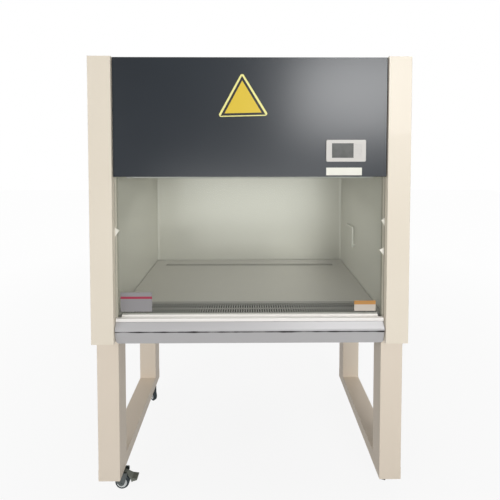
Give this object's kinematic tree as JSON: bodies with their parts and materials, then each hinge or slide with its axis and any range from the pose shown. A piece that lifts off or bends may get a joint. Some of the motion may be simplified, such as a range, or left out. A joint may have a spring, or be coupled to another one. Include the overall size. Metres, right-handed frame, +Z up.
{
  "type": "biosafety cabinet",
  "caption": "Floor-standing biosafety cabinet: chamber with a sliding glass sash, hinged dark front cover with controller, blower and filters above, on an open stand with casters.",
  "frame": {"origin": "on the floor under the middle of the bounding box", "axes": "+Z up, the sash faces -Y, +X to the right of someone standing behind the sash looking along +Y"},
  "size_m": [1.5, 0.76, 2.205],
  "materials": {
    "body_paint": "satin ivory powder coat",
    "stand_paint": "satin ivory powder coat",
    "cover_paint": "gloss slate paint",
    "stainless": "fine brushed",
    "zinc": "bright zinc",
    "blower_steel": "galvanised",
    "handle_aluminium": "clear anodised",
    "rail_aluminium": "powder coated",
    "sash_glass": "clear toughened",
    "counter_iron": "rough cast",
    "filter_media": "pleated glass paper in a board frame",
    "lamp_glass": "opal",
    "white_plastic": "satin moulded",
    "key_plastic": "satin moulded",
    "screen": "gloss window",
    "sign_yellow": "gloss plate",
    "brass": "turned",
    "lever_paint": "dipped",
    "tyre_rubber": "dark polyurethane tread on a light hub",
    "pedal_plastic": "dark moulded",
    "motor_paint": "black"
  },
  "bodies": {
    "cabinet": {"side_panel_left": "body_paint", "side_panel_right": "body_paint", "rear_panel": "body_paint", "roof_panel": "body_paint", "base_pan": "stainless", "exhaust_guard": "body_paint", "chamber_liner": "stainless", "work_surface": "stainless", "front_grille": "stainless", "front_sill": "stainless", "ceiling_diffuser": "stainless", "wall_hanger": "stainless", "plenum_tray": "blower_steel", "supply_filter": "filter_media", "exhaust_filter": "filter_media", "blower_housing": "blower_steel", "blower_motor": "motor_paint", "lamp_holder": "white_plastic", "lamp_tube": "lamp_glass", "guide_rail_left": "rail_aluminium", "guide_rail_right": "rail_aluminium", "guide_clips": "white_plastic", "pulley_bracket": "zinc", "cover_hinge_pin": "zinc", "drain_valve": "brass", "post_front_left": "stand_paint", "post_front_right": "stand_paint", "post_rear_left": "stand_paint", "post_rear_right": "stand_paint", "foot_rail_left": "stand_paint", "foot_rail_right": "stand_paint", "head_rail_left": "stand_paint", "head_rail_right": "stand_paint", "cross_rail": "stand_paint", "caster_plates": "zinc", "caster_bolts": "zinc"},
    "sash": {"sash_glass": "sash_glass", "sash_handle": "handle_aluminium"},
    "counterweight": {"counterweight": "counter_iron"},
    "pulley": {"sash_pulley": "white_plastic"},
    "cover": {"front_cover": "cover_paint", "controller_bezel": "white_plastic", "controller_screen": "screen", "sign_plate": "sign_yellow", "strip_plate": "white_plastic"},
    "fan_key": {"button_fan": "key_plastic"},
    "lamp_key": {"button_lamp": "key_plastic"},
    "power_key": {"button_power": "key_plastic"},
    "impeller": {"blower_impeller": "blower_steel"},
    "drain_lever": {"drain_lever": "lever_paint"},
    "yoke_front_left": {"caster_yoke_front_left": "zinc"},
    "wheel_front_left": {"caster_wheel_front_left": "tyre_rubber"},
    "pedal_front_left": {"brake_pedal_front_left": "pedal_plastic"},
    "yoke_front_right": {"caster_yoke_front_right": "zinc"},
    "wheel_front_right": {"caster_wheel_front_right": "tyre_rubber"},
    "pedal_front_right": {"brake_pedal_front_right": "pedal_plastic"},
    "yoke_rear_left": {"caster_yoke_rear_left": "zinc"},
    "wheel_rear_left": {"caster_wheel_rear_left": "tyre_rubber"},
    "yoke_rear_right": {"caster_yoke_rear_right": "zinc"},
    "wheel_rear_right": {"caster_wheel_rear_right": "tyre_rubber"}
  },
  "joints": [
    {"name": "sash_lift", "type": "slide", "parent": "cabinet", "child": "sash", "axis": [0, 0, 1], "range_m": [0, 0.45]},
    {"name": "counterweight_drop", "type": "slide", "parent": "cabinet", "child": "counterweight", "axis": [0, 0, -1], "range_m": [0, 0.45]},
    {"name": "pulley_turn", "type": "hinge", "parent": "cabinet", "child": "pulley", "pos_m": [-0.678, -0.339, 2.142], "axis": [0, -1, 0], "continuous": true},
    {"name": "cover_swing", "type": "hinge", "parent": "cabinet", "child": "cover", "pos_m": [0, -0.36, 2.168], "axis": [-1, 0, 0], "range_deg": [0, 75]},
    {"name": "impeller_spin", "type": "hinge", "parent": "cabinet", "child": "impeller", "pos_m": [0, 0.04, 1.918], "axis": [1, 0, 0], "continuous": true},
    {"name": "drain_turn", "type": "hinge", "parent": "cabinet", "child": "drain_lever", "pos_m": [0.45, 0.075, 0.784], "axis": [0, 1, 0], "range_deg": [0, 90]},
    {"name": "fan_press", "type": "slide", "parent": "cover", "child": "fan_key", "axis": [0, 1, 0], "range_m": [0, 0.0012], "stiffness_N_per_m": 400},
    {"name": "lamp_press", "type": "slide", "parent": "cover", "child": "lamp_key", "axis": [0, 1, 0], "range_m": [0, 0.0012], "stiffness_N_per_m": 400},
    {"name": "power_press", "type": "slide", "parent": "cover", "child": "power_key", "axis": [0, 1, 0], "range_m": [0, 0.0012], "stiffness_N_per_m": 400},
    {"name": "swivel_front_left", "type": "hinge", "parent": "cabinet", "child": "yoke_front_left", "pos_m": [-0.696, -0.266, 0.09], "axis": [0, 0, 1], "continuous": true},
    {"name": "roll_front_left", "type": "hinge", "parent": "yoke_front_left", "child": "wheel_front_left", "pos_m": [-0.658, -0.266, 0.036], "axis": [0, 1, 0], "continuous": true},
    {"name": "brake_front_left", "type": "hinge", "parent": "yoke_front_left", "child": "pedal_front_left", "pos_m": [-0.65, -0.266, 0.082], "axis": [0, 1, 0], "range_deg": [0, 12]},
    {"name": "swivel_front_right", "type": "hinge", "parent": "cabinet", "child": "yoke_front_right", "pos_m": [0.696, -0.266, 0.09], "axis": [0, 0, 1], "continuous": true},
    {"name": "roll_front_right", "type": "hinge", "parent": "yoke_front_right", "child": "wheel_front_right", "pos_m": [0.70583, -0.22929, 0.036], "axis": [-0.9659, 0.2588, 0], "continuous": true},
    {"name": "brake_front_right", "type": "hinge", "parent": "yoke_front_right", "child": "pedal_front_right", "pos_m": [0.70791, -0.22157, 0.082], "axis": [-0.9659, 0.2588, 0], "range_deg": [0, 12]},
    {"name": "swivel_rear_left", "type": "hinge", "parent": "cabinet", "child": "yoke_rear_left", "pos_m": [-0.696, 0.27, 0.09], "axis": [0, 0, 1], "continuous": true},
    {"name": "roll_rear_left", "type": "hinge", "parent": "yoke_rear_left", "child": "wheel_rear_left", "pos_m": [-0.66913, 0.24313, 0.036], "axis": [0.7071, 0.7071, 0], "continuous": true},
    {"name": "swivel_rear_right", "type": "hinge", "parent": "cabinet", "child": "yoke_rear_right", "pos_m": [0.696, 0.27, 0.09], "axis": [0, 0, 1], "continuous": true},
    {"name": "roll_rear_right", "type": "hinge", "parent": "yoke_rear_right", "child": "wheel_rear_right", "pos_m": [0.715, 0.30291, 0.036], "axis": [-0.866, 0.5, 0], "continuous": true}
  ],
  "couplings": [
    {"joint": "counterweight_drop", "follows": "sash_lift", "ratio": 1},
    {"joint": "pulley_turn", "follows": "sash_lift", "rad_per_m": 37.037}
  ]
}
